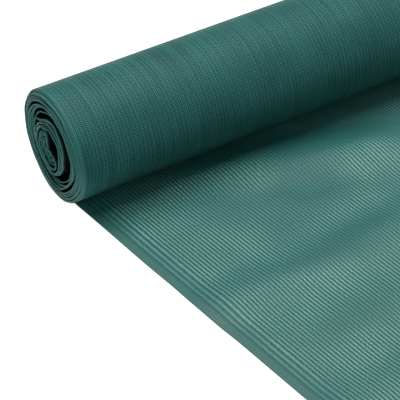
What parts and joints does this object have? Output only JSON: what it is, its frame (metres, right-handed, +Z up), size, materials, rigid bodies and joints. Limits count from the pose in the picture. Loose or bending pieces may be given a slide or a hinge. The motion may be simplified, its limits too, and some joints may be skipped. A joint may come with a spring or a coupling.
{
  "type": "windbreak netting roll",
  "caption": "Coreless roll of dark green knitted windbreak netting lying on its side, with the loose end of the net unrolled flat in front of it.",
  "frame": {"origin": "on the floor at mid-width of the net, under the line where the roll presses on the loose end", "axes": "+X along the roll, away from the end whose turns stand out; +Y to the back, away from the loose end; +Z up"},
  "size_m": [1.0218, 0.5596, 0.119],
  "materials": {
    "knitted_net": "matt knitted polyethylene"
  },
  "bodies": {
    "root": {"netting_roll": "knitted_net", "loose_end": "knitted_net"}
  },
  "joints": []
}
